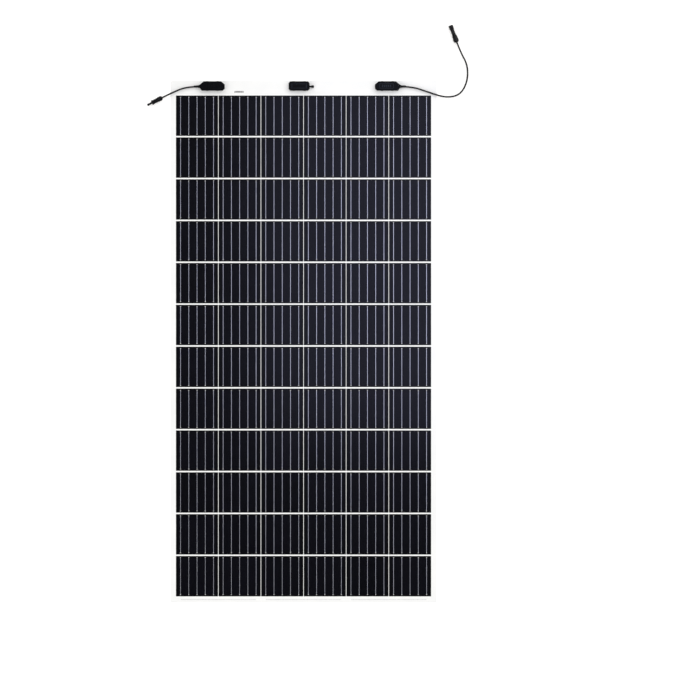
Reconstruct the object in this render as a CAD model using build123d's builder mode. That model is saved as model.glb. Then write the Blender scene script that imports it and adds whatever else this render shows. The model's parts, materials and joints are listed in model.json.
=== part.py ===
"""Flexible solar sheet: a thin laminate of 72 cells with three junction boxes and two cables.

It lies flat, face up. Origin: middle of the sheet's back face. +X to the right, +Y towards the
edge with the junction boxes, +Z out of the face. Millimetres.
"""

import math
import os

from build123d import *

os.makedirs("parts", exist_ok=True)

# Laminate
SHEET_W = 1072.0
SHEET_L = 2100.0
SHEET_CORNER_R = 6.0
TOP_MARGIN = 58.0  # from the top edge to the first row of cells
BACKSHEET_T = 1.6
REAR_FILM_T = 0.2
CELL_T = 0.2
RIBBON_T = 0.1
FRONT_FILL_T = 0.5  # encapsulant from the back of the cells to the clear film
FRONT_FILM_T = 0.2
REAR_FILM_Z = BACKSHEET_T
CELL_Z = REAR_FILM_Z + REAR_FILM_T
RIBBON_Z = CELL_Z + CELL_T
FRONT_FILM_Z = CELL_Z + FRONT_FILL_T
SHEET_T = FRONT_FILM_Z + FRONT_FILM_T

# Cells, in six strings of twelve
CELL = 166.0
COLUMNS = 6
ROWS = 12
PITCH_X = 171.5
PITCH_Y = 168.5
CELLS_TOP = SHEET_L / 2 - TOP_MARGIN
CELLS_CENTRE_Y = CELLS_TOP - CELL / 2 - PITCH_Y * (ROWS - 1) / 2
CELLS_BOTTOM = CELLS_CENTRE_Y - PITCH_Y * (ROWS - 1) / 2 - CELL / 2

# Ribbons
RIBBONS_PER_CELL = 5
RIBBON_W = 2.0
RIBBON_END_GAP = 6.0  # from the cell's edge to the ribbon's end
BUS_W = 4.0
BUS_GAP = 11.0  # from the cells to the middle of the bus ribbon
BUS_L = PITCH_X + 132.0

# Bending lines: one at every gap between rows and one across the middle of every row
STRIPS = 2 * ROWS
STRIP_L = PITCH_Y / 2
STRIP_GAP = 0.3
FIRST_STRIP_TOP = CELLS_TOP + (PITCH_Y - CELL) / 2

# Printed label
LABEL_SIZE = (38.0, 7.0)
LABEL_T = 0.1
LABEL_CENTRE = (-260.0, 1005.0)

# Junction boxes: u runs from a box's inner end to its cable, v towards the top edge
BOX_Y = SHEET_L / 2 - 22.4
BOX_INNER_X = {"left": -317.3, "right": 287.9}
BOX_OUTWARD = {"left": -1, "right": 1}
BOX_OUTLINE = [(0, 6), (0, -10), (8, -18), (92, -18), (101, -6), (101, 4), (84, 18), (14, 18)]
MIDDLE_BOX_CENTRE_X = -17.7
MIDDLE_BOX_SIZE = (83.0, 36.0)
MIDDLE_BOX_CORNER = 6.0
STUB_X = MIDDLE_BOX_CENTRE_X + MIDDLE_BOX_SIZE[0] / 2
BASE_H = 14.0
LID_H = 4.0
WALL = 2.0
FLOOR_T = 1.8
LIP_H = 1.5
LIP_T = 1.2
LIP_GAP = 0.2
CAVITY_Z = SHEET_T + FLOOR_T
LID_Z = SHEET_T + BASE_H
NOZZLE_R = 5.2
NOZZLE_L = 3.0
STUB_R = 3.0
STUB_L = 14.0
STUB_CAP_R = 5.6
STUB_CAP_L = 11.0
STUB_CAP_START = 7.5  # from the box's side to the cap's mouth
FIT_GAP = 0.05  # radial, where one part turns or slides in another

# Cables
CABLE_R = 3.15
CABLE_Y = 1026.0
CABLE_Z = SHEET_T + 7.5
PLUG_BACK = Vector(-568.5, 981.5, CABLE_Z)
PLUG_HEADING = 207.0  # degrees from +X
SOCKET_BACK = Vector(616.5, 1204.0, 11.2)
SOCKET_HEADING = 110.5
CABLE_IN_CONNECTOR = 18.0  # how far a cable runs into its connector

# Connectors: s runs along the axis from the cable end, r is the radius
NUT_L = 15.0
STEM_R = 7.5
STEM_START = 6.0
SEAL_R = 5.4
SEAL_L = 8.0
CONTACT_START = 19.5
GRIP_R = 1.1
GRIPS = 12
NOSE_R = 4.0
NOSE_TIP_R = 5.0
PLUG_L = 67.0
SOCKET_L = 72.0
MOUTH_R = 5.3
MOUTH_L = 16.0

FLAT_ON = (Align.CENTER, Align.CENTER, Align.MIN)


def save(part, name):
    """Labels a finished piece and writes it."""
    part.label = name
    export_step(part, f"parts/{name}.step")


def strip_limits(index):
    """Top and bottom y of one strip of the sheet, counted from the boxes' end."""
    top = SHEET_L / 2 if index == 0 else FIRST_STRIP_TOP - index * STRIP_L - STRIP_GAP / 2
    last = index == STRIPS - 1
    bottom = -SHEET_L / 2 if last else FIRST_STRIP_TOP - (index + 1) * STRIP_L + STRIP_GAP / 2
    return top, bottom


def make_backsheet_strip(index):
    top, bottom = strip_limits(index)
    with BuildPart() as strip:
        with BuildSketch():
            RectangleRounded(SHEET_W, SHEET_L, SHEET_CORNER_R)
            with Locations((0, (top + bottom) / 2)):
                Rectangle(SHEET_W, top - bottom, mode=Mode.INTERSECT)
        extrude(amount=BACKSHEET_T)
    save(strip.part, f"backsheet_strip_{index + 1:02d}")


def make_film(name, height, thickness):
    with BuildPart() as film:
        with BuildSketch(Plane.XY.offset(height)):
            RectangleRounded(SHEET_W, SHEET_L, SHEET_CORNER_R)
        extrude(amount=thickness)
    save(film.part, name)


def bus_centres():
    """Bus ribbons: three pairs of strings below the cells, two pairs and two ends above."""
    below = CELLS_BOTTOM - BUS_GAP
    above = CELLS_TOP + BUS_GAP
    return [(-2 * PITCH_X, below), (0, below), (2 * PITCH_X, below), (-PITCH_X, above), (PITCH_X, above)]


def make_front_encapsulant():
    """The soft layer that the cells, their ribbons and the bus ribbons are embedded in."""
    with BuildPart() as fill:
        with BuildSketch(Plane.XY.offset(CELL_Z)):
            RectangleRounded(SHEET_W, SHEET_L, SHEET_CORNER_R)
        extrude(amount=FRONT_FILL_T)
        with BuildSketch(Plane.XY.offset(CELL_Z)):
            with Locations((0, CELLS_CENTRE_Y)):
                with GridLocations(PITCH_X, PITCH_Y, COLUMNS, ROWS):
                    Rectangle(CELL, CELL)
        extrude(amount=CELL_T + RIBBON_T, mode=Mode.SUBTRACT)
        with BuildSketch(Plane.XY.offset(CELL_Z)):
            with Locations(*bus_centres()):
                Rectangle(BUS_L, BUS_W)
        extrude(amount=CELL_T, mode=Mode.SUBTRACT)
    save(fill.part, "front_encapsulant")


def make_cell_string(column):
    with BuildPart() as string:
        with BuildSketch(Plane.XY.offset(CELL_Z)):
            with Locations(((column - (COLUMNS - 1) / 2) * PITCH_X, CELLS_CENTRE_Y)):
                with GridLocations(PITCH_X, PITCH_Y, 1, ROWS):
                    Rectangle(CELL, CELL)
        extrude(amount=CELL_T)
    save(string.part, f"cell_string_{column + 1}")


def make_cell_ribbons():
    with BuildPart() as ribbons:
        with BuildSketch(Plane.XY.offset(RIBBON_Z)):
            with Locations((0, CELLS_CENTRE_Y)):
                with GridLocations(PITCH_X, PITCH_Y, COLUMNS, ROWS):
                    with GridLocations(CELL / RIBBONS_PER_CELL, 1, RIBBONS_PER_CELL, 1):
                        Rectangle(RIBBON_W, CELL - 2 * RIBBON_END_GAP)
        extrude(amount=RIBBON_T)
    save(ribbons.part, "cell_ribbons")


def make_bus_ribbons():
    with BuildPart() as bus:
        with BuildSketch(Plane.XY.offset(CELL_Z)):
            with Locations(*bus_centres()):
                Rectangle(BUS_L, BUS_W)
        extrude(amount=CELL_T)
    save(bus.part, "bus_ribbons")


def make_label():
    with BuildPart() as label:
        with BuildSketch(Plane.XY.offset(SHEET_T)):
            with Locations(LABEL_CENTRE):
                RectangleRounded(*LABEL_SIZE, radius=1.0)
        extrude(amount=LABEL_T)
    save(label.part, "rating_label")


def end_box_outline(side):
    """A box with slanted corners that narrows to its cable."""
    outward = BOX_OUTWARD[side]
    return [(BOX_INNER_X[side] + outward * u, BOX_Y + v) for u, v in BOX_OUTLINE]


def middle_box_outline():
    half_l, half_w = MIDDLE_BOX_SIZE[0] / 2, MIDDLE_BOX_SIZE[1] / 2
    cut = MIDDLE_BOX_CORNER
    corners = []
    for sign_x, sign_y in ((1, 1), (-1, 1), (-1, -1), (1, -1)):
        along = (MIDDLE_BOX_CENTRE_X + sign_x * (half_l - cut), BOX_Y + sign_y * half_w)
        across = (MIDDLE_BOX_CENTRE_X + sign_x * half_l, BOX_Y + sign_y * (half_w - cut))
        corners += [across, along] if sign_x == sign_y else [along, across]
    return corners


def make_base(name, outline, port_x, port_y, outward, port_r, port_l, bore_r):
    """A tray with a round port at its side. The port is bored through for a cable, or solid."""
    port = Plane(origin=(port_x, port_y, CABLE_Z), z_dir=(outward, 0, 0))
    with BuildPart() as base:
        with BuildSketch(Plane.XY.offset(SHEET_T)):
            with BuildLine():
                Polyline(*outline, close=True)
            make_face()
        extrude(amount=BASE_H)
        fillet(base.edges().filter_by(Axis.Z), 1.5)
        with BuildSketch(Plane.XY.offset(CAVITY_Z)):
            with BuildLine():
                Polyline(*outline, close=True)
            make_face()
            offset(amount=-WALL, kind=Kind.INTERSECTION)
        extrude(amount=BASE_H, mode=Mode.SUBTRACT)
        with BuildSketch(port.offset(-WALL / 2)):
            Circle(port_r)
        extrude(amount=port_l + WALL / 2)
        if bore_r:
            with BuildSketch(port.offset(-2 * WALL)):
                Circle(bore_r)
            extrude(amount=port_l + 3 * WALL, mode=Mode.SUBTRACT)
    save(base.part, f"{name}_box_base")


def make_lid(name, outline):
    """A cover with a rounded top edge, a shallow recessed panel and a lip that sits in the tray."""
    with BuildPart() as lid:
        with BuildSketch(Plane.XY.offset(LID_Z)):
            with BuildLine():
                Polyline(*outline, close=True)
            make_face()
        extrude(amount=LID_H)
        fillet(lid.edges().filter_by(Axis.Z), 1.5)
        fillet(lid.faces().sort_by(Axis.Z)[-1].edges(), 1.2)
        with BuildSketch(Plane.XY.offset(LID_Z + LID_H)):
            with BuildLine():
                Polyline(*outline, close=True)
            make_face()
            offset(amount=-3 * WALL, kind=Kind.INTERSECTION)
        extrude(amount=-0.6, mode=Mode.SUBTRACT)
        with BuildSketch(Plane.XY.offset(LID_Z)):
            with BuildLine():
                Polyline(*outline, close=True)
            make_face()
            offset(amount=-WALL - LIP_GAP, kind=Kind.INTERSECTION)
            with BuildSketch(mode=Mode.PRIVATE) as inner:
                with BuildLine():
                    Polyline(*outline, close=True)
                make_face()
                offset(amount=-WALL - LIP_GAP - LIP_T, kind=Kind.INTERSECTION)
            add(inner.sketch, mode=Mode.SUBTRACT)
        extrude(amount=-LIP_H)
    save(lid.part, f"{name}_box_lid")


def make_box_insides(name, centre_x):
    """Two terminal clips on the tray's floor and a bypass diode between them."""
    spacing, plate_l, plate_w, plate_t, clip_h = 40.0, 16.0, 12.0, 1.0, 5.0
    body_l, body_w, body_h, leg_w, leg_t = 14.0, 9.0, 5.0, 3.0, 0.8
    with BuildPart() as terminals:
        with Locations((centre_x, BOX_Y, CAVITY_Z)):
            with GridLocations(spacing, 1, 2, 1):
                Box(plate_l, plate_w, plate_t, align=FLAT_ON)
                with Locations((0, plate_w / 2 - plate_t / 2, plate_t)):
                    Box(plate_l, plate_t, clip_h, align=FLAT_ON)
    save(terminals.part, f"{name}_box_terminals")
    legs_z = CAVITY_Z + plate_t
    with BuildPart() as diode:
        with Locations((centre_x, BOX_Y, legs_z)):
            Box(spacing - plate_l / 2, leg_w, leg_t, align=FLAT_ON)
            Box(body_l, body_w, body_h, align=FLAT_ON)
        fillet(diode.edges().filter_by(Axis.Z).group_by(SortBy.LENGTH)[-1], 0.8)
    save(diode.part, f"{name}_box_diode")


def heading_vector(degrees):
    return Vector(math.cos(math.radians(degrees)), math.sin(math.radians(degrees)), 0)


def profile_plane(back, heading):
    """The upright plane through a connector's axis: x is the radius, y runs along the axis."""
    along = heading_vector(heading)
    up = Vector(0, 0, 1)
    return Plane(origin=back, x_dir=up, z_dir=up.cross(along))


def section_plane(back, heading, s):
    along = heading_vector(heading)
    return Plane(origin=back + along * s, x_dir=(0, 0, 1), z_dir=along)


def make_turned(back, heading, profile):
    """A solid of revolution about a connector's axis, from points (r, s)."""
    with BuildPart() as turned:
        with BuildSketch(profile_plane(back, heading)):
            with BuildLine():
                Polyline(*profile, close=True)
            make_face()
        revolve(axis=Axis(back, heading_vector(heading)))
    return turned.part


def make_stub_cap():
    """A bulbous rubber cap over the middle box's unused stub."""
    mouth = Vector(STUB_X + STUB_CAP_START, CABLE_Y, CABLE_Z)
    profile = [
        (STUB_R + FIT_GAP, 0),
        (STUB_CAP_R - 1.8, 0),
        (STUB_CAP_R, 2.4),
        (STUB_CAP_R, STUB_CAP_L - 3),
        (STUB_CAP_R - 2.4, STUB_CAP_L),
        (0, STUB_CAP_L),
        (0, STUB_L - STUB_CAP_START),
        (STUB_R + FIT_GAP, STUB_L - STUB_CAP_START),
    ]
    save(make_turned(mouth, 0, profile), "middle_stub_cap")


def make_gland_nut(name, back, heading, outer_r):
    """A cap nut with grip flutes, round the connector's stem and the cable."""
    hole_r = CABLE_R + 5 * FIT_GAP
    inner_r = STEM_R + FIT_GAP
    seat = STEM_START - 0.5
    profile = [
        (hole_r, 0),
        (outer_r - 3.5, 0),
        (outer_r - 2.4, 1.2),
        (outer_r, 5),
        (outer_r, NUT_L),
        (inner_r, NUT_L),
        (inner_r, seat),
        (hole_r, seat),
    ]
    with BuildPart() as nut:
        add(make_turned(back, heading, profile))
        with BuildSketch(section_plane(back, heading, 4)):
            with PolarLocations(outer_r + GRIP_R * 0.45, GRIPS):
                Circle(GRIP_R)
        extrude(amount=NUT_L, mode=Mode.SUBTRACT)
    save(nut.part, f"{name}_gland_nut")


def make_wire_seal(name, back, heading):
    ring = [
        (CABLE_R + FIT_GAP, STEM_START + 1),
        (SEAL_R, STEM_START + 1),
        (SEAL_R, STEM_START + 1 + SEAL_L),
        (CABLE_R + FIT_GAP, STEM_START + 1 + SEAL_L),
    ]
    save(make_turned(back, heading, ring), f"{name}_wire_seal")


def stem_bore():
    """The inside of both connector bodies behind the contact, from the mouth of the stem inwards."""
    seal_end = STEM_START + 1 + SEAL_L
    return [
        (CABLE_R + FIT_GAP, seal_end),
        (SEAL_R + FIT_GAP, seal_end),
        (SEAL_R + FIT_GAP, STEM_START),
        (STEM_R, STEM_START),
        (STEM_R, NUT_L + 0.3),
    ]


def make_plug():
    """The left connector, with a slim nose, as seen from its cable to its tip."""
    contact_r = 2.4
    bore_r = contact_r + FIT_GAP
    outside = [
        (9.5, NUT_L + 0.3),
        (9.5, 19),
        (8.4, 22),
        (8.0, 38.5),
        (9.8, 40.5),
        (9.8, 45),
        (8.6, 46.5),
        (NOSE_R, 46.5),
        (NOSE_R, 60),
        (NOSE_TIP_R, 61),
        (NOSE_TIP_R, 65),
        (NOSE_TIP_R - 1.4, PLUG_L),
        (bore_r, PLUG_L),
        (bore_r, CONTACT_START),
        (CABLE_R + FIT_GAP, CONTACT_START),
    ]
    with BuildPart() as body:
        add(make_turned(PLUG_BACK, PLUG_HEADING, stem_bore() + outside))
        with BuildSketch(section_plane(PLUG_BACK, PLUG_HEADING, 24)):
            with PolarLocations(9.8, 2, start_angle=90):
                Rectangle(3.4, 9.0)
        extrude(amount=10, mode=Mode.SUBTRACT)
    save(body.part, "left_plug_body")
    contact = [
        (0, CONTACT_START),
        (contact_r, CONTACT_START),
        (contact_r, PLUG_L - 1.5),
        (1.4, PLUG_L - 1.5),
        (1.4, PLUG_L - 18),
        (0, PLUG_L - 18),
    ]
    save(make_turned(PLUG_BACK, PLUG_HEADING, contact), "left_contact_sleeve")
    middle = 46.5 + 1.1
    with BuildPart() as seal:
        with BuildSketch(profile_plane(PLUG_BACK, PLUG_HEADING)):
            with Locations((NOSE_R + 1.05, middle)):
                Circle(1.0)
        revolve(axis=Axis(PLUG_BACK, heading_vector(PLUG_HEADING)))
    save(seal.part, "left_nose_seal")


def make_socket():
    """The right connector: a barrel with an open mouth that takes a plug's nose."""
    pin_r = 2.0
    seat = SOCKET_L - MOUTH_L
    bore_r = pin_r + FIT_GAP
    outside = [
        (10.2, NUT_L + 0.3),
        (10.2, 24),
        (7.6, 36),
        (7.4, 62),
        (9.5, 64),
        (9.5, SOCKET_L - 1),
        (8.7, SOCKET_L),
        (MOUTH_R, SOCKET_L),
        (MOUTH_R, seat),
        (bore_r, seat),
        (bore_r, CONTACT_START),
        (CABLE_R + FIT_GAP, CONTACT_START),
    ]
    with BuildPart() as body:
        add(make_turned(SOCKET_BACK, SOCKET_HEADING, stem_bore() + outside))
        with BuildSketch(section_plane(SOCKET_BACK, SOCKET_HEADING, 17)):
            with PolarLocations(10.9, 6):
                Circle(1.6)
        extrude(amount=20, mode=Mode.SUBTRACT)
    save(body.part, "right_socket_body")
    pin = [(0, CONTACT_START), (pin_r, CONTACT_START), (pin_r, seat - 0.8), (1.2, seat), (0, seat)]
    save(make_turned(SOCKET_BACK, SOCKET_HEADING, pin), "right_contact_pin")


def cable_route(side):
    """A cable's corner points, from inside its junction box to inside its connector."""
    if side == "left":
        end = PLUG_BACK + heading_vector(PLUG_HEADING) * CABLE_IN_CONNECTOR
        before = PLUG_BACK - heading_vector(PLUG_HEADING) * 44
        start = Vector(-412, CABLE_Y, CABLE_Z)
        return [start, Vector(-468, CABLE_Y, CABLE_Z), before, end]
    end = SOCKET_BACK + heading_vector(SOCKET_HEADING) * CABLE_IN_CONNECTOR
    before = SOCKET_BACK - heading_vector(SOCKET_HEADING) * 40
    return [
        Vector(383, CABLE_Y, CABLE_Z),
        Vector(437, CABLE_Y, CABLE_Z),
        Vector(507, 1001.5, CABLE_Z),
        Vector(572, 981, 8.5),
        Vector(630, 992, 4.0),
        Vector(660, 1046, 3.7),
        Vector(661, 1112, 3.9),
        before,
        end,
    ]


def bend_radii(points):
    """The largest arc at each corner that leaves a tenth of the shorter run straight."""
    radii = []
    for before, corner, after in zip(points, points[1:], points[2:]):
        turn = (corner - before).get_angle(after - corner)
        shorter = min((corner - before).length, (after - corner).length)
        radii.append(0.45 * shorter / math.tan(math.radians(turn / 2)))
    return radii


def make_cable(side):
    points = cable_route(side)
    radii = bend_radii(points)
    with BuildPart() as cable:
        with BuildLine() as route:
            FilletPolyline(*points, radius=radii)
        with BuildSketch(Plane(origin=points[0], z_dir=points[1] - points[0])):
            Circle(CABLE_R)
        sweep()
    length = sum(edge.length for edge in route.edges())
    print(f"{side} cable: {length:.1f} mm long, bend radii", [round(r) for r in radii])
    print(f"  volume over section times length: {cable.part.volume / (math.pi * CABLE_R**2 * length):.4f}")
    save(cable.part, f"{side}_cable")


# The laminate, from back to front
for strip_index in range(STRIPS):
    make_backsheet_strip(strip_index)
make_film("rear_encapsulant", REAR_FILM_Z, REAR_FILM_T)
for string_column in range(COLUMNS):
    make_cell_string(string_column)
make_cell_ribbons()
make_bus_ribbons()
make_front_encapsulant()
make_film("front_film", FRONT_FILM_Z, FRONT_FILM_T)
make_label()

# The junction boxes
for box_side in ("left", "right"):
    box_outline = end_box_outline(box_side)
    box_tip = BOX_INNER_X[box_side] + BOX_OUTWARD[box_side] * BOX_OUTLINE[4][0]
    bore = CABLE_R + FIT_GAP
    make_base(box_side, box_outline, box_tip, CABLE_Y, BOX_OUTWARD[box_side], NOZZLE_R, NOZZLE_L, bore)
    make_lid(box_side, box_outline)
    make_box_insides(box_side, BOX_INNER_X[box_side] + BOX_OUTWARD[box_side] * 48)
make_base("middle", middle_box_outline(), STUB_X, CABLE_Y, 1, STUB_R, STUB_L, 0)
make_lid("middle", middle_box_outline())
make_box_insides("middle", MIDDLE_BOX_CENTRE_X)
make_stub_cap()

# The cables and what is on their ends
make_cable("left")
make_gland_nut("left", PLUG_BACK, PLUG_HEADING, 9.5)
make_wire_seal("left", PLUG_BACK, PLUG_HEADING)
make_plug()
make_cable("right")
make_gland_nut("right", SOCKET_BACK, SOCKET_HEADING, 11.0)
make_wire_seal("right", SOCKET_BACK, SOCKET_HEADING)
make_socket()
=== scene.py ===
"""The looks of the flexible solar sheet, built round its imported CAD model, in metres."""

import json
import math
import random

import bmesh
import bpy
from mathutils import Matrix, Vector


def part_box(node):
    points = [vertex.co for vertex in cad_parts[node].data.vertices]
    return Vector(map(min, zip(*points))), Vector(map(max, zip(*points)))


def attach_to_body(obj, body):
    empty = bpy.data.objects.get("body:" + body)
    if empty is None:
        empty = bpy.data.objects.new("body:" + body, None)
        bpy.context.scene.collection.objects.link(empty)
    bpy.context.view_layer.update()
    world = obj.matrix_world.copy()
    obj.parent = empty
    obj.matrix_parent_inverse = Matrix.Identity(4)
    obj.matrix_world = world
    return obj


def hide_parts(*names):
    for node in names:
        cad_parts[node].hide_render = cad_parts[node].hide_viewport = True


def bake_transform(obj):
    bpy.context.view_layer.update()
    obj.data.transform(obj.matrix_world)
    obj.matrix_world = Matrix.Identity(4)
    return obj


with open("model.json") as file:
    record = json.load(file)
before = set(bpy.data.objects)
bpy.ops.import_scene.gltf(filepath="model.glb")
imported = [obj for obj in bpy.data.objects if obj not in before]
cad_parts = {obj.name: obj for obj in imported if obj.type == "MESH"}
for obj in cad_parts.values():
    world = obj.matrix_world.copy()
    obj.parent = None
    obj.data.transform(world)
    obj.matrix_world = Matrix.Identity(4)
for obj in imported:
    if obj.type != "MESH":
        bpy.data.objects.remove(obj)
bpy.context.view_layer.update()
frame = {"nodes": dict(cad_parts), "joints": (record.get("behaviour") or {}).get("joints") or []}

MM = 0.001
NODES = frame["nodes"]
ROOT = "strip_01"

# ---------------------------------------------------------------- camera


LENS, SENSOR = 200, 36
SEEN_WIDTH = 2.818  # across the view, at the sheet
VIEW_CENTRE = (0.187, -0.034)


def make_camera():
    """Looks straight down at the sheet and its leads, with the boxes at the top."""
    data = bpy.data.cameras.new("camera")
    data.lens = LENS
    data.sensor_width = SENSOR
    data.clip_end = 100
    camera = bpy.data.objects.new("camera", data)
    bpy.context.scene.collection.objects.link(camera)
    camera.location = (*VIEW_CENTRE, SEEN_WIDTH * LENS / SENSOR)
    bpy.context.scene.camera = camera


make_camera()

# ---------------------------------------------------------------- places from the frame

JOINT_Y = {j["name"]: j["pos_m"][1] for j in frame["joints"]}
BEND_Y = [JOINT_Y[name] for name in sorted(JOINT_Y) if name.startswith("bend_")]
STRIPS = len(BEND_Y) + 1
STRIP_L = BEND_Y[0] - BEND_Y[1]
SHEET_LOW, SHEET_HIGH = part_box("front_film")
SHEET_W = SHEET_HIGH[0] - SHEET_LOW[0]
SHEET_T = SHEET_HIGH[2]
TOP_Y, BOTTOM_Y = SHEET_HIGH[1], SHEET_LOW[1]
STRINGS = [f"cell_string_{i + 1}" for i in range(6)]
COLUMNS = [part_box(name) for name in STRINGS]
ROWS = 12
CELL = COLUMNS[0][1][0] - COLUMNS[0][0][0]
CELLS_TOP = COLUMNS[0][1][1]
CELLS_BOTTOM = COLUMNS[0][0][1]
PITCH_X = COLUMNS[1][0][0] - COLUMNS[0][0][0]
PITCH_Y = (CELLS_TOP - COLUMNS[0][0][1] - CELL) / (ROWS - 1)

# ---------------------------------------------------------------- mesh helpers


def link(obj):
    bpy.context.scene.collection.objects.link(obj)
    return obj


def finish_mesh(name, bm, materials, sharp_degrees=30):
    """Makes an object of a bmesh, smooth except at edges sharper than sharp_degrees."""
    bmesh.ops.recalc_face_normals(bm, faces=bm.faces)
    mesh = bpy.data.meshes.new(name)
    bm.to_mesh(mesh)
    bm.free()
    for material in materials:
        mesh.materials.append(material)
    mesh.polygons.foreach_set("use_smooth", [True] * len(mesh.polygons))
    mesh.set_sharp_from_angle(angle=math.radians(sharp_degrees))
    return link(bpy.data.objects.new(name, mesh))


def lathe(bm, profile, steps=64, matrix=Matrix.Identity(4)):
    """Adds a solid of revolution about local X, from a closed loop of points (s, r) with r > 0."""
    rings = []
    for step in range(steps):
        angle = 2 * math.pi * step / steps
        turn = (math.cos(angle), math.sin(angle))
        points = [Vector((s, r * turn[0], r * turn[1])) for s, r in profile]
        rings.append([bm.verts.new(matrix @ point) for point in points])
    for step in range(steps):
        ring, after = rings[step], rings[(step + 1) % steps]
        for i in range(len(profile)):
            k = (i + 1) % len(profile)
            bm.faces.new((ring[i], ring[k], after[k], after[i]))


def rounded_box(bm, centre, size, bevel, segments=3, matrix=Matrix.Identity(4)):
    """Adds a box with rounded edges."""
    part = bmesh.new()
    bmesh.ops.create_cube(part, size=1.0)
    bmesh.ops.scale(part, vec=size, verts=part.verts)
    bmesh.ops.bevel(part, geom=part.edges[:] + part.verts[:], offset=bevel, segments=segments,
                    affect="EDGES", profile=0.5)
    bmesh.ops.translate(part, vec=centre, verts=part.verts)
    bmesh.ops.transform(part, matrix=matrix, verts=part.verts)
    mesh = bpy.data.meshes.new("part")
    part.to_mesh(mesh)
    part.free()
    bm.from_mesh(mesh)
    bpy.data.meshes.remove(mesh)


# ---------------------------------------------------------------- materials


class Shader:
    """A node material with one Principled shader. Constants are set on its sockets."""

    def __init__(self, name, colour, roughness, **sockets):
        self.material = bpy.data.materials.new(name)
        self.material.use_nodes = True
        self.tree = self.material.node_tree
        self.nodes = self.tree.nodes
        self.shader = self.nodes["Principled BSDF"]
        self.shader.inputs["Base Color"].default_value = (*colour, 1)
        self.shader.inputs["Roughness"].default_value = roughness
        for socket, value in sockets.items():
            self.shader.inputs[socket.replace("_", " ")].default_value = value
        self.bump = None

    def add(self, kind, **values):
        node = self.nodes.new(kind)
        for name, value in values.items():
            setattr(node, name, value)
        return node

    def join(self, output, target):
        self.tree.links.new(output, target)

    def set(self, node, **inputs):
        for name, value in inputs.items():
            node.inputs[name.replace("_", " ")].default_value = value
        return node

    def coordinates(self, uv=None):
        if uv:
            return self.add("ShaderNodeUVMap", uv_map=uv).outputs["UV"]
        return self.add("ShaderNodeTexCoord").outputs["Object"]

    def scaled(self, vector, scale):
        node = self.add("ShaderNodeMapping")
        node.inputs["Scale"].default_value = scale
        self.join(vector, node.inputs["Vector"])
        return node.outputs["Vector"]

    def noise(self, vector, scale, detail=4, roughness=0.55):
        node = self.set(self.add("ShaderNodeTexNoise"), Scale=scale, Detail=detail, Roughness=roughness)
        self.join(vector, node.inputs["Vector"])
        return node.outputs["Fac"]

    def ramp(self, value, *stops):
        node = self.add("ShaderNodeValToRGB")
        elements = node.color_ramp.elements
        while len(elements) < len(stops):
            elements.new(0.5)
        for element, (at, colour) in zip(elements, stops):
            element.position = at
            element.color = (*colour, 1) if isinstance(colour, tuple) else (colour, colour, colour, 1)
        self.join(value, node.inputs["Fac"])
        return node.outputs["Color"]

    def math(self, operation, a, b):
        node = self.add("ShaderNodeMath", operation=operation)
        for socket, value in zip(node.inputs, (a, b)):
            if isinstance(value, (int, float)):
                socket.default_value = value
            else:
                self.join(value, socket)
        return node.outputs["Value"]

    def mix(self, factor, a, b, blend="MIX"):
        node = self.add("ShaderNodeMix", data_type="RGBA", blend_type=blend)
        for socket, value in zip((node.inputs[0], node.inputs[6], node.inputs[7]), (factor, a, b)):
            if isinstance(value, (int, float)):
                socket.default_value = value
            elif isinstance(value, tuple):
                socket.default_value = (*value, 1)
            else:
                self.join(value, socket)
        return node.outputs[2]

    def colour(self, output):
        self.join(output, self.shader.inputs["Base Color"])

    def roughness(self, value, low, high):
        node = self.set(self.add("ShaderNodeMapRange"), To_Min=low, To_Max=high)
        self.join(value, node.inputs["Value"])
        self.join(node.outputs["Result"], self.shader.inputs["Roughness"])

    def add_bump(self, height, distance, strength=1.0):
        node = self.set(self.add("ShaderNodeBump"), Distance=distance, Strength=strength)
        self.join(height, node.inputs["Height"])
        if self.bump:
            self.join(self.bump, node.inputs["Normal"])
        self.bump = node.outputs["Normal"]
        self.join(self.bump, self.shader.inputs["Normal"])


def white_film():
    """White backing under clear film: faintly mottled, with the film's fine pressed grain."""
    s = Shader("white_film", (0.83, 0.84, 0.84), 0.38, IOR=1.42, Coat_Weight=0.6, Coat_Roughness=0.16,
               Coat_IOR=1.4)
    place = s.coordinates("sheet")
    cloud = s.noise(place, 9, 5)
    s.colour(s.ramp(cloud, (0.3, (0.80, 0.812, 0.815)), (0.7, (0.85, 0.855, 0.85))))
    s.roughness(s.noise(place, 160, 3), 0.3, 0.46)
    s.add_bump(s.noise(place, 1400, 2), 0.00002, 0.5)
    s.add_bump(s.noise(place, 14, 2), 0.0004, 0.25)
    return s.material


def backsheet():
    """The back: white glass-fibre-reinforced plastic with the weave showing through."""
    s = Shader("backsheet", (0.8, 0.81, 0.81), 0.5, IOR=1.45)
    place = s.coordinates("sheet")
    threads = []
    for direction in ("X", "Y"):
        thread = s.add("ShaderNodeTexWave", wave_type="BANDS", bands_direction=direction)
        s.set(thread, Scale=130, Distortion=0.4)
        s.join(place, thread.inputs["Vector"])
        threads.append(thread.outputs["Fac"])
    weave = s.math("MAXIMUM", *threads)
    cloud = s.noise(place, 7, 5)
    base = s.ramp(cloud, (0.3, (0.785, 0.79, 0.79)), (0.7, (0.815, 0.82, 0.817)))
    s.colour(s.mix(0.06, base, s.ramp(weave, (0.0, 0.45), (1.0, 0.95)), "MULTIPLY"))
    s.roughness(s.noise(place, 220, 3), 0.42, 0.6)
    s.add_bump(weave, 0.00006, 0.6)
    return s.material


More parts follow.
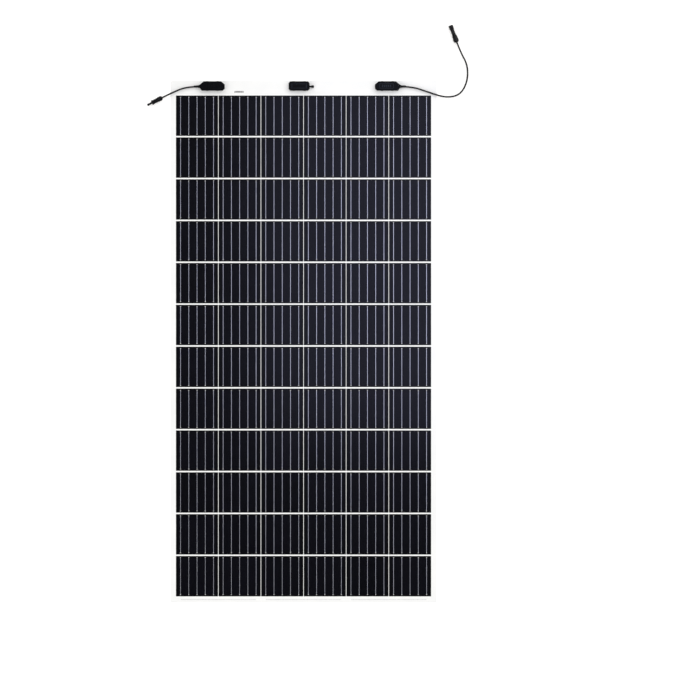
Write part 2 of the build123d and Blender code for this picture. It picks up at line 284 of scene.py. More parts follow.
def laminate_edge():
    """The cut edge: white core with the darker line of the encapsulant near the top."""
    s = Shader("laminate_edge", (0.75, 0.76, 0.76), 0.45, IOR=1.45)
    height = s.add("ShaderNodeSeparateXYZ")
    s.join(s.coordinates("edge"), height.inputs["Vector"])
    layers = s.ramp(height.outputs["Y"], (0.0, (0.78, 0.78, 0.77)), (0.62, (0.8, 0.8, 0.79)),
                    (0.68, (0.5, 0.52, 0.54)), (0.9, (0.62, 0.64, 0.66)), (1.0, (0.82, 0.83, 0.84)))
    s.colour(layers)
    s.add_bump(s.noise(s.coordinates("edge"), 60, 3), 0.0001, 0.4)
    return s.material


def silicon():
    """Near-black blue silicon under clear film: dark rim, faint grid lines, each cell its own tone."""
    s = Shader("silicon", (0.003, 0.0035, 0.006), 0.34, IOR=1.4, Specular_IOR_Level=0.08,
               Coat_Weight=0.4, Coat_Roughness=0.18, Coat_IOR=1.28)
    place = s.coordinates("sheet")
    inside = s.add("ShaderNodeSeparateXYZ")
    s.join(s.coordinates("cell"), inside.inputs["Vector"])
    from_side = s.math("PINGPONG", inside.outputs["X"], 0.5)
    from_end = s.math("PINGPONG", inside.outputs["Y"], 0.5)
    from_rim = s.math("MINIMUM", from_side, from_end)
    rim = s.ramp(from_rim, (0.0, 0.0), (0.09, 1.0))
    tone = s.add("ShaderNodeAttribute", attribute_name="tone").outputs["Fac"]
    centre = s.ramp(tone, (0.0, (0.0008, 0.0009, 0.0026)), (0.5, (0.0013, 0.0014, 0.0038)),
                    (1.0, (0.002, 0.0019, 0.005)))
    cloud = s.noise(place, 26, 4)
    clouded = s.mix(s.ramp(cloud, (0.35, 0.0), (0.75, 0.4)), centre, (0.0034, 0.0036, 0.0095))
    grain = s.ramp(s.noise(place, 210, 2), (0.35, 0.55), (0.65, 1.0))
    mottled = s.mix(1.0, clouded, grain, "MULTIPLY")
    body = s.mix(rim, (0.0006, 0.0007, 0.0014), mottled)
    lines = s.math("MULTIPLY", inside.outputs["Y"], 104)
    line = s.math("PINGPONG", lines, 0.5)
    grid = s.ramp(line, (0.0, 0.1), (0.05, 0.0))
    s.colour(s.mix(grid, body, (0.16, 0.165, 0.18)))
    s.roughness(s.noise(place, 300, 3), 0.26, 0.42)
    s.add_bump(s.noise(place, 1400, 2), 0.00002, 0.5)
    s.add_bump(s.noise(place, 14, 2), 0.0004, 0.2)
    return s.material


def tinned_copper(name="tinned_copper", colour=(0.6, 0.61, 0.65), metal=0.82):
    s = Shader(name, colour, 0.36, Metallic=metal, IOR=1.5, Coat_Weight=0.5, Coat_Roughness=0.15)
    place = s.coordinates("sheet")
    streaks = s.noise(s.scaled(place, (900, 12, 1)), 1, 3)
    low = tuple(c * 0.86 for c in colour)
    high = tuple(min(1, c * 1.14) for c in colour)
    s.colour(s.ramp(streaks, (0.3, low), (0.7, high)))
    s.roughness(streaks, 0.3, 0.46)
    s.add_bump(streaks, 0.00003, 0.5)
    return s.material


def moulded(name, colour, roughness, grain=900.0, depth=0.00006, shine=0.0, gloss=0.13):
    """Moulded plastic: a fine grain, a little cloudiness, and a painted highlight that makes convex edges
    lighter.
    """
    s = Shader(name, colour, roughness, IOR=1.45, Specular_IOR_Level=gloss, Coat_Weight=shine,
               Coat_Roughness=0.25, Coat_IOR=1.35)
    place = s.coordinates()
    cloud = s.noise(place, 60, 4)
    # painted highlight: where the surface is convex (high pointiness) the colour is painted up to 2.2 times
    # lighter, in place of shine
    edge = s.add("ShaderNodeNewGeometry").outputs["Pointiness"]
    painted_edge_highlight = s.ramp(edge, (0.5, 0.0), (0.6, 0.4))
    low = tuple(c * 0.8 for c in colour)
    high = tuple(c * 1.25 for c in colour)
    body = s.ramp(cloud, (0.3, low), (0.7, high))
    s.colour(s.mix(painted_edge_highlight, body, tuple(min(1, c * 2.2) for c in colour)))
    s.roughness(s.noise(place, grain / 3, 3), roughness - 0.08, roughness + 0.08)
    s.add_bump(s.noise(place, grain, 2), depth, 0.5)
    return s.material


def cable_jacket():
    """Extruded jacket: satin black with faint lines along it and a little dust."""
    s = Shader("cable_jacket", (0.006, 0.006, 0.0066), 0.48, IOR=1.45, Specular_IOR_Level=0.35)
    place = s.coordinates()
    dust = s.noise(place, 35, 5)
    s.colour(s.ramp(dust, (0.35, (0.0025, 0.0025, 0.0028)), (0.75, (0.006, 0.006, 0.0065))))
    s.roughness(s.noise(place, 420, 3), 0.4, 0.56)
    s.add_bump(s.noise(place, 1500, 2), 0.00004, 0.5)
    return s.material


def plated_contact():
    s = Shader("plated_contact", (0.72, 0.7, 0.64), 0.24, Metallic=1.0)
    place = s.coordinates()
    s.colour(s.ramp(s.noise(place, 90, 4), (0.3, (0.62, 0.6, 0.54)), (0.7, (0.8, 0.78, 0.72))))
    s.roughness(s.noise(place, 500, 3), 0.18, 0.34)
    s.add_bump(s.noise(place, 900, 2), 0.00002, 0.4)
    return s.material


def printed_label():
    """A small printed strip: short grey bars on white, in place of any lettering."""
    s = Shader("printed_label", (0.84, 0.84, 0.84), 0.5, IOR=1.45)
    place = s.coordinates()
    parts = s.add("ShaderNodeSeparateXYZ")
    s.join(place, parts.inputs["Vector"])
    row = s.math("PINGPONG", s.math("MULTIPLY", parts.outputs["Y"], 420), 0.5)
    dash = s.noise(s.scaled(place, (1, 0.02, 0)), 620, 1)
    in_row = s.ramp(row, (0.1, 0.0), (0.16, 1.0))
    in_dash = s.ramp(dash, (0.34, 0.0), (0.38, 1.0))
    printed = s.math("MULTIPLY", in_row, in_dash)
    s.colour(s.mix(printed, (0.84, 0.845, 0.845), (0.03, 0.03, 0.034)))
    s.roughness(s.noise(place, 300, 2), 0.42, 0.56)
    return s.material


def sealant():
    s = Shader("sealant", (0.78, 0.79, 0.79), 0.4, IOR=1.42)
    place = s.coordinates()
    s.colour(s.ramp(s.noise(place, 50, 4), (0.3, (0.7, 0.71, 0.71)), (0.7, (0.8, 0.81, 0.81))))
    s.roughness(s.noise(place, 120, 3), 0.3, 0.5)
    s.add_bump(s.noise(place, 240, 3), 0.0002, 0.5)
    return s.material


MAT = {
    "white": white_film(),
    "back": backsheet(),
    "edge": laminate_edge(),
    "silicon": silicon(),
    "ribbon": tinned_copper(),
    "bus": tinned_copper("bus_copper", (0.68, 0.685, 0.69), 0.05),
    "box": moulded("box_plastic", (0.0011, 0.0014, 0.002), 0.36, shine=0.05, gloss=0.1),
    # the ridge plastic is the box plastic painted lighter and bluer: a painted highlight on the ridges of
    # the middle and right lids
    "painted_highlight_ridge": moulded("lid_ridges_painted_highlight", (0.0125, 0.0165, 0.025), 0.34, shine=0.2),
    "connector": moulded("connector_plastic", (0.0028, 0.0028, 0.0033), 0.34, 1200.0, shine=0.3, gloss=0.3),
    "rubber": moulded("seal_rubber", (0.011, 0.011, 0.012), 0.6, grain=700.0),
    "jacket": cable_jacket(),
    "contact": plated_contact(),
    "diode": moulded("diode_body", (0.03, 0.03, 0.034), 0.55),
    "label": printed_label(),
    "sealant": sealant(),
}

# ---------------------------------------------------------------- cables

# the leads' routes and the connectors' places are in mm
CABLE_D = 6.3 * MM
CABLE_Y = 1026.0
CABLE_Z = 10.0
PLUG_BACK, PLUG_HEADING = Vector((-568.5, 981.5, CABLE_Z)), math.radians(207.0)
SOCKET_BACK, SOCKET_HEADING = Vector((616.5, 1204.0, 11.2)), math.radians(110.5)


def on_axis(back, heading, s):
    """A point of a connector's axis, s mm from its cable end, in mm."""
    return back + Vector((math.cos(heading), math.sin(heading), 0)) * s


ROUTES = {
    "left": [
        (-412, CABLE_Y, CABLE_Z),
        (-468, CABLE_Y, CABLE_Z),
        on_axis(PLUG_BACK, PLUG_HEADING, -44),
        on_axis(PLUG_BACK, PLUG_HEADING, 18),
    ],
    "right": [
        (383, CABLE_Y, CABLE_Z),
        (437, CABLE_Y, CABLE_Z),
        (507, 1001.5, CABLE_Z),
        (572, 981, 8.5),
        (630, 992, 4.0),
        (660, 1046, 3.7),
        (661, 1112, 3.9),
        on_axis(SOCKET_BACK, SOCKET_HEADING, -40),
        on_axis(SOCKET_BACK, SOCKET_HEADING, 18),
    ],
}


def make_cable(side):
    curve = bpy.data.curves.new(f"{side}_lead", "CURVE")
    curve.dimensions = "3D"
    curve.bevel_depth = CABLE_D / 2
    curve.bevel_resolution = 10
    curve.resolution_u = 24
    curve.use_fill_caps = True
    route = ROUTES[side]
    spline = curve.splines.new("NURBS")
    spline.points.add(len(route) - 1)
    for point, place in zip(spline.points, route):
        point.co = (*(Vector(place) * MM), 1)
    spline.order_u = 3
    spline.use_endpoint_u = True
    curve.materials.append(MAT["jacket"])
    lead = link(bpy.data.objects.new(f"{side}_lead", curve))
    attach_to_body(lead, ROOT)
    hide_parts(f"{side}_cable")


for lead_side in ROUTES:
    make_cable(lead_side)

# ---------------------------------------------------------------- the laminate

SHEET_CORNER_R = 6 * MM
EDGE_BEVEL = 0.3 * MM
LAMINATE_TOP = SHEET_T - 0.05 * MM
CELL_RIM = 0.35 * MM
CELL_GROWTH = (1.9 * MM, 0.85 * MM)  # how far the seen cell passes the silicon's nominal outline
CELL_TOP = SHEET_T
RIBBON_TOP = SHEET_T + 0.04 * MM
SINK = 0.1 * MM  # how far cells and ribbons reach into the laminate
LINES_PER_SEGMENT = 12
LINE_GAP = 0.0008  # an even line this close to an extra one is left out
MERGE = 1e-6
SHORTEST = 1e-5  # lengths of cell or ribbon below this are left out
CORNER_ANGLES = (0, 15, 30, 45, 60, 72, 82)  # degrees, where lines cross a rounded corner
FLAT = 4  # degrees: smooth along a bend, sharp at every bevel


def plate(bm, layers, xs, ys, z_top, z_low, z_rim, rims, cell=None, tone=0.5, materials=(0, 0, 0)):
    """Adds a closed plate on the lines xs and ys. rims says which ends in y slope down to z_rim."""
    tops = []
    for j, y in enumerate(ys):
        at_rim = (j == 0 and rims[0]) or (j == len(ys) - 1 and rims[1])
        row = []
        for i, x in enumerate(xs):
            side = i in (0, len(xs) - 1)
            row.append(bm.verts.new((x, y, z_rim if side or at_rim else z_top)))
        tops.append(row)
    lows = [(bm.verts.new((xs[0], y, z_low)), bm.verts.new((xs[-1], y, z_low))) for y in ys]
    made = []
    for j in range(len(ys) - 1):
        for i in range(len(xs) - 1):
            made.append((0, (tops[j][i], tops[j][i + 1], tops[j + 1][i + 1], tops[j + 1][i])))
        made.append((1, (lows[j][0], lows[j + 1][0], lows[j + 1][1], lows[j][1])))
        made.append((2, (tops[j][0], tops[j + 1][0], lows[j + 1][0], lows[j][0])))
        made.append((2, (lows[j][1], lows[j + 1][1], tops[j + 1][-1], tops[j][-1])))
    for j in (0, len(ys) - 1):
        made.append((2, (*tops[j], lows[j][1], lows[j][0])))
    for kind, verts in made:
        face = bm.faces.new(verts)
        face.material_index = materials[kind]
        face[layers["tone"]] = tone
        for loop in face.loops:
            x, y, z = loop.vert.co
            loop[layers["sheet"]].uv = (x, y)
            loop[layers["edge"]].uv = (x + y, z / SHEET_T)
            if cell:
                loop[layers["cell"]].uv = ((x - cell[0]) / CELL, (y - cell[1]) / CELL)


def new_layers(bm):
    uv = bm.loops.layers.uv
    return {
        "sheet": uv.new("sheet"),
        "edge": uv.new("edge"),
        "cell": uv.new("cell"),
        "tone": bm.faces.layers.float.new("tone"),
    }


def lines(high, low, extra=()):
    """y lines from high to low, evenly spaced, with the extra lines that fall between them."""
    count = max(2, math.ceil((high - low) / (STRIP_L / LINES_PER_SEGMENT)))
    even = [high + (low - high) * i / count for i in range(count + 1)]
    inner = [y for y in extra if low + MERGE < y < high - MERGE]
    kept = [y for y in even if all(abs(y - e) > LINE_GAP for e in inner)]
    return sorted(set(kept + inner), reverse=True)


def segments():
    """(index, high y, low y, strips) from the boxes' end on. Each inner one spans a bending line."""
    middles = [BEND_Y[0] + STRIP_L / 2] + [y - STRIP_L / 2 for y in BEND_Y]
    found = [(0, TOP_Y, middles[0], (1,))]
    for k in range(1, STRIPS):
        found.append((k, middles[k - 1], middles[k], (k, k + 1)))
    found.append((STRIPS, middles[-1], BOTTOM_Y, (STRIPS,)))
    return found


def round_corner(bm, y_edge, y_inner):
    """Draws the outer corners of an end segment in to the corner radius."""
    straight = SHEET_W / 2 - SHEET_CORNER_R
    for vert in bm.verts:
        past_y = abs(vert.co.y - y_inner)
        if (vert.co.y - y_inner) * (y_edge - y_inner) > 0 and abs(vert.co.x) > straight:
            share = math.sqrt(max(0.0, 1 - (past_y / SHEET_CORNER_R) ** 2))
            vert.co.x = math.copysign(straight + (abs(vert.co.x) - straight) * share, vert.co.x)


def attach(piece, high, low, strips, slot, *nodes):
    """Rides on its strip, or, where it spans two strips, stays fixed where it is with its placing baked into
    the mesh.
    """
    names = [f"strip_{k:02d}" for k in strips]
    if len(names) == 2:
        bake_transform(piece)
    else:
        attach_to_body(piece, names[0])
    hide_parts(*nodes)


def make_laminate(index, high, low, strips):
    """One length of the white backing and films."""
    bm = bmesh.new()
    layers = new_layers(bm)
    half = SHEET_W / 2
    straight = half - SHEET_CORNER_R
    xs = [-half, -half + EDGE_BEVEL, -straight, 0, straight, half - EDGE_BEVEL, half]
    extra = []
    rims = (index == 0, index == STRIPS)
    if rims[0] or rims[1]:
        edge, into = (high, -1) if rims[0] else (low, 1)
        arc = [1 - math.sin(math.radians(a)) for a in CORNER_ANGLES]
        extra = [edge + into * SHEET_CORNER_R * a for a in arc]
        extra.append(edge + into * EDGE_BEVEL)
    ys = lines(high, low, extra)
    plate(bm, layers, xs, ys, LAMINATE_TOP, 0.0, LAMINATE_TOP - EDGE_BEVEL, rims, materials=(0, 1, 2))
    if rims[0] or rims[1]:
        edge, into = (high, -1) if rims[0] else (low, 1)
        round_corner(bm, edge, edge + into * SHEET_CORNER_R)
        bmesh.ops.remove_doubles(bm, verts=bm.verts, dist=MERGE)
    piece = finish_mesh(f"laminate_{index:02d}", bm, [MAT["white"], MAT["back"], MAT["edge"]], FLAT)
    nodes = [f"backsheet_strip_{k:02d}" for k in strips]
    nodes += ["rear_encapsulant", "front_encapsulant", "front_film"]
    attach(piece, high, low, strips, "backsheet", *nodes)


def cell_spans(high, low):
    """(row, cell's top, cell's bottom, part's top, part's bottom) for the cells between two lines."""
    for row in range(ROWS):
        top = CELLS_TOP - row * PITCH_Y + CELL_GROWTH[1]
        bottom = CELLS_TOP - row * PITCH_Y - CELL - CELL_GROWTH[1]
        upper, lower = min(top, high), max(bottom, low)
        if upper - lower > SHORTEST:
            yield row, top, bottom, upper, lower


TONES = random.Random(7)
CELL_TONE = {(row, column): TONES.random() for row in range(ROWS) for column in range(len(COLUMNS))}
RIBBONS = 5
RIBBON_W = 2.0 * MM
RIBBON_END_GAP = 9.5 * MM
RIBBON_BEVEL = 0.25 * MM
PAD_SIZE = (3.2 * MM, 3.0 * MM)
PAD_TOP = RIBBON_TOP + 0.01 * MM


def make_cells(index, high, low, strips):
    bm = bmesh.new()
    layers = new_layers(bm)
    for row, top, bottom, upper, lower in cell_spans(high, low):
        rims = (upper == top, lower == bottom)
        ys = lines(upper, lower, (top - CELL_RIM, bottom + CELL_RIM))
        for column, (corner, far) in enumerate(COLUMNS):
            left, right = corner[0] - CELL_GROWTH[0], far[0] + CELL_GROWTH[0]
            xs = [left, left + CELL_RIM, right - CELL_RIM, right]
            plate(bm, layers, xs, ys, CELL_TOP, LAMINATE_TOP - SINK, LAMINATE_TOP - SINK / 4, rims,
                  cell=(corner[0], bottom), tone=CELL_TONE[row, column])
    piece = finish_mesh(f"cells_{index:02d}", bm, [MAT["silicon"]], FLAT)
    attach(piece, high, low, strips, "cell", *STRINGS)


def make_ribbons(index, high, low, strips):
    """The thin conductors on the cells, each with a small pad near both of its ends."""
    bm = bmesh.new()
    layers = new_layers(bm)
    bevel = RIBBON_BEVEL
    half = RIBBON_W / 2
    w, h = PAD_SIZE[0] / 2, PAD_SIZE[1] / 2
    for row, top, bottom, upper, lower in cell_spans(high, low):
        start, end = top - RIBBON_END_GAP, bottom + RIBBON_END_GAP
        from_y, to_y = min(start, high), max(end, low)
        if from_y - to_y < SHORTEST:
            continue
        rims = (from_y == start, to_y == end)
        ys = lines(from_y, to_y, (start - bevel, end + bevel))
        for corner, far in COLUMNS:
            for k in range(RIBBONS):
                x = corner[0] + CELL * (k + 0.5) / RIBBONS
                plate(bm, layers, [x - half, x - half + bevel, x + half - bevel, x + half], ys,
                      RIBBON_TOP, CELL_TOP - SINK, CELL_TOP - SINK / 4, rims)
                for rim, y in zip(rims, (start, end)):
                    if rim:
                        plate(bm, layers, [x - w, x - w + bevel, x + w - bevel, x + w],
                              [y + h, y + h - bevel, y - h + bevel, y - h],
                              PAD_TOP, CELL_TOP - SINK, CELL_TOP - SINK / 4, (True, True),
                              materials=(1, 1, 1))
    piece = finish_mesh(f"ribbons_{index:02d}", bm, [MAT["ribbon"], MAT["bus"]], FLAT)
    attach(piece, high, low, strips, "ribbon", "cell_ribbons")


BUS_L, BUS_W, BUS_GAP = 303.5 * MM, 4.0 * MM, 11.0 * MM
COVER_W = BUS_W + 2 * MM
BUS_BEVEL = 0.3 * MM


def make_bus(name, y, centres, width, strip, material):
    """Flat conductors, or the tape over them, across the sheet in a margin."""
    bm = bmesh.new()
    layers = new_layers(bm)
    bevel = BUS_BEVEL
    for x in centres:
        left, right = x - BUS_L / 2, x + BUS_L / 2
        plate(bm, layers, [left, left + bevel, x, right - bevel, right],
              [y + width / 2, y + width / 2 - bevel, y - width / 2 + bevel, y - width / 2],
              SHEET_T, LAMINATE_TOP - SINK, LAMINATE_TOP - SINK / 4, (True, True))
    piece = finish_mesh(name, bm, [material])
    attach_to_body(piece, strip)
    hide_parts("bus_ribbons")


for segment in segments():
    make_laminate(*segment)
    make_cells(*segment)
    make_ribbons(*segment)
make_bus("bus_below", CELLS_BOTTOM - BUS_GAP, (-2 * PITCH_X, 0, 2 * PITCH_X), BUS_W,
         f"strip_{STRIPS:02d}", MAT["bus"])
make_bus("bus_cover", CELLS_TOP + BUS_GAP, (-PITCH_X, PITCH_X), COVER_W,
         ROOT, MAT["white"])

# ---------------------------------------------------------------- CAD nodes that stay, with better materials

SIDES = ("left", "middle", "right")
KEPT = {
    "box": [f"{side}_box_{part}" for side in SIDES for part in ("base", "lid")],
    "contact": [f"{side}_box_terminals" for side in SIDES] + ["left_contact_sleeve", "right_contact_pin"],
    "diode": [f"{side}_box_diode" for side in SIDES],
    "rubber": ["left_wire_seal", "right_wire_seal", "left_nose_seal"],
    "connector": ["left_plug_body", "left_gland_nut", "right_socket_body", "right_gland_nut"],
    "label": ["rating_label"],
}
for kind, names in KEPT.items():
    for node_name in names:
        node = NODES[node_name]
        for material_slot in node.material_slots:
            material_slot.material = MAT[kind]

# ---------------------------------------------------------------- details of the boxes

LID_LOW, LID_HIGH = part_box("middle_box_lid")
BOX_Y = (LID_LOW[1] + LID_HIGH[1]) / 2
LID_TOP = LID_HIGH[2]
PANEL_Z = LID_TOP - 0.6 * MM  # the lids' recessed panels
SEAM_Z = LID_TOP - 4.0 * MM  # between tray and lid
# u runs from a box's inner end to its cable, v towards the sheet's edge, in mm
END_OUTLINE = [(0, 6), (0, -10), (8, -18), (92, -18), (101, -6), (101, 4), (84, 18), (14, 18)]
MIDDLE_OUTLINE = [(41.5, -12), (41.5, 12), (35.5, 18), (-35.5, 18), (-41.5, 12), (-41.5, -12), (-35.5, -18),
                  (35.5, -18)]
MIDDLE_X = (LID_LOW[0] + LID_HIGH[0]) / 2
# side: (outline, x of its origin, which way u runs)
PLACED = {
    "left": (END_OUTLINE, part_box("left_box_lid")[1][0], -1),
    "middle": (MIDDLE_OUTLINE, MIDDLE_X, 1),
    "right": (END_OUTLINE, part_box("right_box_lid")[0][0], 1),
}
# beads round a box: (distance outwards, height)
SEALANT = [(-0.5, -0.1), (-0.5, 1.5), (0.25, 1.6), (0.9, 1.15), (1.5, 0.6), (1.9, 0.15), (2.0, -0.1)]
SEAM = [(-0.8, -0.5), (0.45, -0.4), (0.6, -0.1), (0.6, 0.5), (0.4, 0.8), (-0.8, 0.9)]
# turned pieces: (distance from the port, radius)
COLLAR = [(-2.9, 4.6), (-2.9, 6.1), (-2.5, 6.5), (-1.7, 6.5), (-1.4, 6.0), (-1.0, 6.0), (-0.7, 6.5),
          (0.3, 6.5), (0.7, 6.1), (0.7, 4.6)]
BOOT = [(0.2, 2.6), (0.2, 5.0), (3.0, 5.0), (3.4, 4.5), (4.2, 4.5), (4.6, 4.85), (6.6, 4.75), (7.0, 4.3),
        (7.8, 4.3), (8.2, 4.65), (10.2, 4.55), (10.6, 4.1), (11.4, 4.1), (11.8, 4.45), (18.5, 4.1),
        (20, 3.8), (20, 2.6)]
CAP = [(0, 3.0), (0, 4.0), (0.3, 4.4), (1.4, 4.5), (1.8, 4.8), (2.6, 5.3), (4.0, 5.6), (5.6, 5.6),
       (7.2, 5.3), (8.6, 4.6), (9.8, 3.5), (10.6, 2.2), (11.0, 0.8), (11.0, 0.01), (6.6, 0.01), (6.6, 3.0)]
# bars on a lid: (u, v, size along u, size along v)
MIDDLE_BARS = [(-29, 0, 2.2, 21), (29, 0, 2.2, 21), (0, 8.5, 50, 1.4), (0, -8.5, 50, 1.4)]
END_BARS = [(46, 9, 56, 1.4), (46, -9, 56, 1.4), (18, 0, 1.4, 16.6), (74, 0, 1.4, 16.6)]
END_BARS += [(30 + 8 * k, 0, 4.2, 8.5) for k in range(5)]
CLIP_V = 18.4
CLIP_U = {"left": (28, 70), "middle": (-22, 22), "right": (28, 70)}


def in_metres(profile, rise=0.0):
    return [(a * MM, rise + b * MM) for a, b in profile]


def add_detail(name, bm, material, sharp=30):
    """A small fixed piece of the boxes' end."""
    piece = finish_mesh(name, bm, [MAT[material]], sharp)
    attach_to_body(piece, ROOT)


def ring_round(bm, outline, profile):
    """Adds a closed bead that follows an outline. The profile is a loop of (distance outwards, z)."""
    area = sum(a.x * b.y - b.x * a.y for a, b in zip(outline, outline[1:] + outline[:1]))
    side = 1 if area > 0 else -1
    rings = []
    for before, corner, after in zip(outline[-1:] + outline[:-1], outline, outline[1:] + outline[:1]):
        first, second = (corner - before).normalized(), (after - corner).normalized()
        out_a, out_b = Vector((first.y, -first.x)) * side, Vector((second.y, -second.x)) * side
        miter = (out_a + out_b) / (1 + out_a.dot(out_b))
        rings.append([bm.verts.new((*(corner + miter * d), z)) for d, z in profile])
    for i, ring in enumerate(rings):
        following = rings[(i + 1) % len(rings)]
        for j in range(len(profile)):
            k = (j + 1) % len(profile)
            bm.faces.new((ring[j], ring[k], following[k], following[j]))


def softened(outline, radius=1.5 * MM, steps=4):
    """Rounds an outline's corners."""
    soft = []
    for before, corner, after in zip(outline[-1:] + outline[:-1], outline, outline[1:] + outline[:1]):
        first, second = (before - corner).normalized(), (after - corner).normalized()
        start, end = corner + first * radius * 0.6, corner + second * radius * 0.6
        for step in range(steps + 1):
            t = step / steps
            soft.append(start * (1 - t) ** 2 + corner * 2 * t * (1 - t) + end * t**2)
    return soft


def box_outline(side):
    points, origin_x, outward = PLACED[side]
    return [Vector((origin_x + outward * u * MM, BOX_Y + v * MM)) for u, v in points]


def make_box_bead(side):
    """The line of white sealant that a box sits in."""
    bm = bmesh.new()
    ring_round(bm, softened(box_outline(side)), in_metres(SEALANT, SHEET_T))
    add_detail(f"{side}_box_sealant", bm, "sealant", 60)


def make_seam(side):
    """The narrow drip edge where a lid closes on its tray."""
    bm = bmesh.new()
    ring_round(bm, softened(box_outline(side)), in_metres(SEAM, SEAM_Z))
    add_detail(f"{side}_box_seam", bm, "box")


def make_clips(side):
    """The snap tabs that hold a lid down, two on each long side."""
    bm = bmesh.new()
    origin_x, outward = PLACED[side][1:]
    for u in CLIP_U[side]:
        for v in (-CLIP_V, CLIP_V):
            centre = (origin_x + outward * u * MM, BOX_Y + v * MM, SEAM_Z)
            rounded_box(bm, centre, (9 * MM, 1.9 * MM, 5.6 * MM), 0.4 * MM)
            rounded_box(bm, (centre[0], centre[1] + math.copysign(0.7 * MM, v), SEAM_Z - 1.6 * MM),
                        (6 * MM, 1.2 * MM, 1.4 * MM), 0.3 * MM)
    add_detail(f"{side}_box_clips", bm, "box")


def make_lid_ribs(side):
    """Low ridges in a lid's panel: a frame of bars, and five short ones inside it on the end boxes. The
    middle and right lids' ridges carry a painted highlight, a lighter plastic, and the left lid's keep the
    box plastic.
    """
    bm = bmesh.new()
    origin_x, outward = PLACED[side][1:]
    for u, v, across, along in MIDDLE_BARS if side == "middle" else END_BARS:
        centre = (origin_x + outward * u * MM, BOX_Y + v * MM, PANEL_Z + 0.15 * MM)
        rounded_box(bm, centre, (across * MM, along * MM, 0.9 * MM), 0.28 * MM, 2)
    # painted highlight: ridges on the middle and right lids take the lighter plastic
    add_detail(f"{side}_lid_ribs", bm, "box" if side == "left" else "painted_highlight_ridge")


def make_cable_exit(side):
    """A collar on the box's port and a short rubber boot that tapers on to the cable."""
    outward = PLACED[side][2]
    low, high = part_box(f"{side}_box_base")
    tip = Vector((low[0] if outward < 0 else high[0], CABLE_Y * MM, CABLE_Z * MM))
    place = Matrix.Translation(tip) @ Matrix.Rotation(math.pi if outward < 0 else 0, 4, "Z")
    collar = bmesh.new()
    lathe(collar, in_metres(COLLAR), 48, place)
    add_detail(f"{side}_port_collar", collar, "box")
    boot = bmesh.new()
    lathe(boot, in_metres(BOOT), 48, place)
    add_detail(f"{side}_cable_boot", boot, "rubber")


def make_stub_cap():
    """The rubber bulb over the middle box's unused port."""
    mouth_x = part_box("middle_stub_cap")[0][0]
    place = Matrix.Translation((mouth_x, CABLE_Y * MM, CABLE_Z * MM))
    cap = bmesh.new()
    lathe(cap, in_metres(CAP), 48, place)
    piece = finish_mesh("stub_cap", cap, [MAT["rubber"]], 40)
    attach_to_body(piece, ROOT)
    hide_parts("middle_stub_cap")


make_stub_cap()
for box_side in SIDES:
    make_box_bead(box_side)
    make_seam(box_side)
    make_clips(box_side)
    make_lid_ribs(box_side)
for box_side in ("left", "right"):
    make_cable_exit(box_side)

# ---------------------------------------------------------------- details of the connectors


# rings on the connectors, in mm: (start, end, radius, inner radius, softening of the edges)
PLUG_BANDS = [(34.2 + 1.7 * k, 35.2 + 1.7 * k, 8.65, 7.0, 0.25) for k in range(3)]
PLUG_BANDS += [(41.6, 44.0, 9.95, 8.6, 0.12)]
SOCKET_BANDS = [(40 + 2.6 * k, 41.4 + 2.6 * k, 8.15, 6.6, 0.3) for k in range(5)]
SOCKET_BANDS += [(16.2, 18.4, 10.75, 9.2, 0.4), (66.0, 67.2, 9.85, 8.6, 0.3)]


def connector_frame(back, heading):
    """Local X runs along a connector from its cable end, local Z is up."""
    return Matrix.Translation(back * MM) @ Matrix.Rotation(heading, 4, "Z")


def band(bm, place, start, end, radius, inner, crown):
    """Adds a ring with softened edges, from start to end along a connector."""
    profile = [(start, inner), (start, radius - crown), (start + crown, radius), (end - crown, radius),
               (end, radius - crown), (end, inner)]
    lathe(bm, in_metres(profile), 64, place)


def make_plug_details():
    """Grip rings behind the plug's flange and on it, and raised ribs along its sides."""
    place = connector_frame(PLUG_BACK, PLUG_HEADING)
    rings = bmesh.new()
    for sizes in PLUG_BANDS:
        band(rings, place, *sizes)
    add_detail("plug_grip_rings", rings, "connector")
    ribs = bmesh.new()
    for turn in range(8):
        angle = math.radians(22.5 + 45 * turn)
        turned = place @ Matrix.Rotation(angle, 4, "X")
        rounded_box(ribs, (28 * MM, 0, 8.15 * MM), (9.5 * MM, 1.5 * MM, 1.3 * MM), 0.35 * MM, 2, turned)
    add_detail("plug_side_ribs", ribs, "connector")


def make_socket_details():
    """Grip rings on the socket's waist and a raised frame round each latch window of its mouth."""
    place = connector_frame(SOCKET_BACK, SOCKET_HEADING)
    rings = bmesh.new()
    for sizes in SOCKET_BANDS:
        band(rings, place, *sizes)
    add_detail("socket_grip_rings", rings, "connector")
    frames = bmesh.new()
    for turn in (0, 90, 180, 270):
        turned = place @ Matrix.Rotation(math.radians(turn), 4, "X")
        for offset in (-2.6, 2.6):
            side_bar = (7.5 * MM, 1.0 * MM, 1.8 * MM)
            rounded_box(frames, (58.5 * MM, offset * MM, 8.0 * MM), side_bar, 0.3 * MM, 2, turned)
        end_bar = (1.0 * MM, 6.2 * MM, 1.8 * MM)
        rounded_box(frames, (55.2 * MM, 0, 8.0 * MM), end_bar, 0.3 * MM, 2, turned)
    add_detail("socket_window_frames", frames, "connector")


make_plug_details()
make_socket_details()

# ---------------------------------------------------------------- floor, light and world


FLOOR_RADIUS, FLOOR_Z = 40, -0.0004
# name, azimuth, elevation, strength, apparent size in degrees
SUNS = [
    ("key", 130, 44, 0.5, 24),
    ("left", -70, 42, 0.25, 24),
    ("back", 195, 42, 0.3, 24),
    ("panel", 135, 73, 0.22, 20),
]


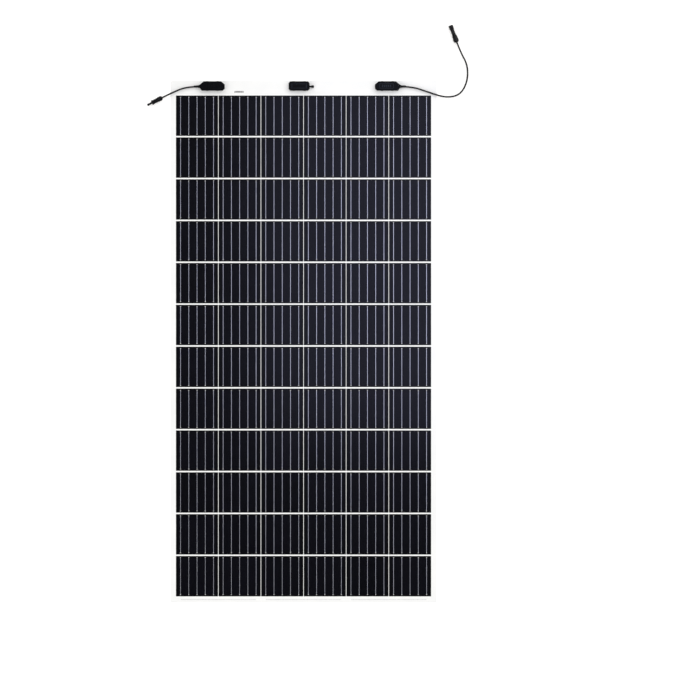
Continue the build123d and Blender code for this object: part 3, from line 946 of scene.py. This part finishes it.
def make_floor():
    bm = bmesh.new()
    bmesh.ops.create_circle(bm, cap_ends=True, radius=FLOOR_RADIUS, segments=96)
    s = Shader("floor", (0.96, 0.96, 0.96), 0.9, Specular_IOR_Level=0.05, Emission_Strength=0.2)
    s.shader.inputs["Emission Color"].default_value = (1, 1, 1, 1)
    floor = finish_mesh("floor", bm, [s.material])
    floor.location.z = FLOOR_Z


def make_sun(name, azimuth, elevation, energy, size):
    """A very soft distant lamp. Azimuth 0 is from -Y, 90 from +X."""
    data = bpy.data.lights.new(name, "SUN")
    data.energy = energy
    data.angle = math.radians(size)
    lamp = link(bpy.data.objects.new(name, data))
    a, e = math.radians(azimuth), math.radians(elevation)
    towards = Vector((math.sin(a) * math.cos(e), -math.cos(a) * math.cos(e), math.sin(e)))
    lamp.rotation_mode = "QUATERNION"
    lamp.rotation_quaternion = towards.to_track_quat("Z", "Y")


def make_sheen():
    """A large soft panel high over the right half. It shows only as a sheen on dark glossy surfaces."""
    data = bpy.data.lights.new("sheen", "AREA")
    data.energy = 28
    data.size = 1.9
    data.color = (0.62, 0.65, 1.0)
    lamp = link(bpy.data.objects.new("sheen", data))
    lamp.location = (0.72, 0.5, 3.6)
    lamp.visible_diffuse = False
    lamp.visible_camera = False


def make_world():
    """Dim and even for light, hidden from reflections, and white where the camera sees past the floor."""
    world = bpy.data.worlds.new("studio")
    world.use_nodes = True
    world.cycles_visibility.glossy = False
    bpy.context.scene.world = world
    nodes, links = world.node_tree.nodes, world.node_tree.links
    dim = nodes["Background"]
    dim.inputs["Color"].default_value = (1.0, 0.985, 0.965, 1)
    dim.inputs["Strength"].default_value = 0.92
    white = nodes.new("ShaderNodeBackground")
    white.inputs["Color"].default_value = (1, 1, 1, 1)
    white.inputs["Strength"].default_value = 1.1
    seen = nodes.new("ShaderNodeLightPath")
    mix = nodes.new("ShaderNodeMixShader")
    links.new(seen.outputs["Is Camera Ray"], mix.inputs["Fac"])
    links.new(dim.outputs["Background"], mix.inputs[1])
    links.new(white.outputs["Background"], mix.inputs[2])
    links.new(mix.outputs["Shader"], nodes["World Output"].inputs["Surface"])


make_floor()
for sun in SUNS:
    make_sun(*sun)
make_sheen()
make_world()
bpy.context.scene.view_settings.view_transform = "Standard"
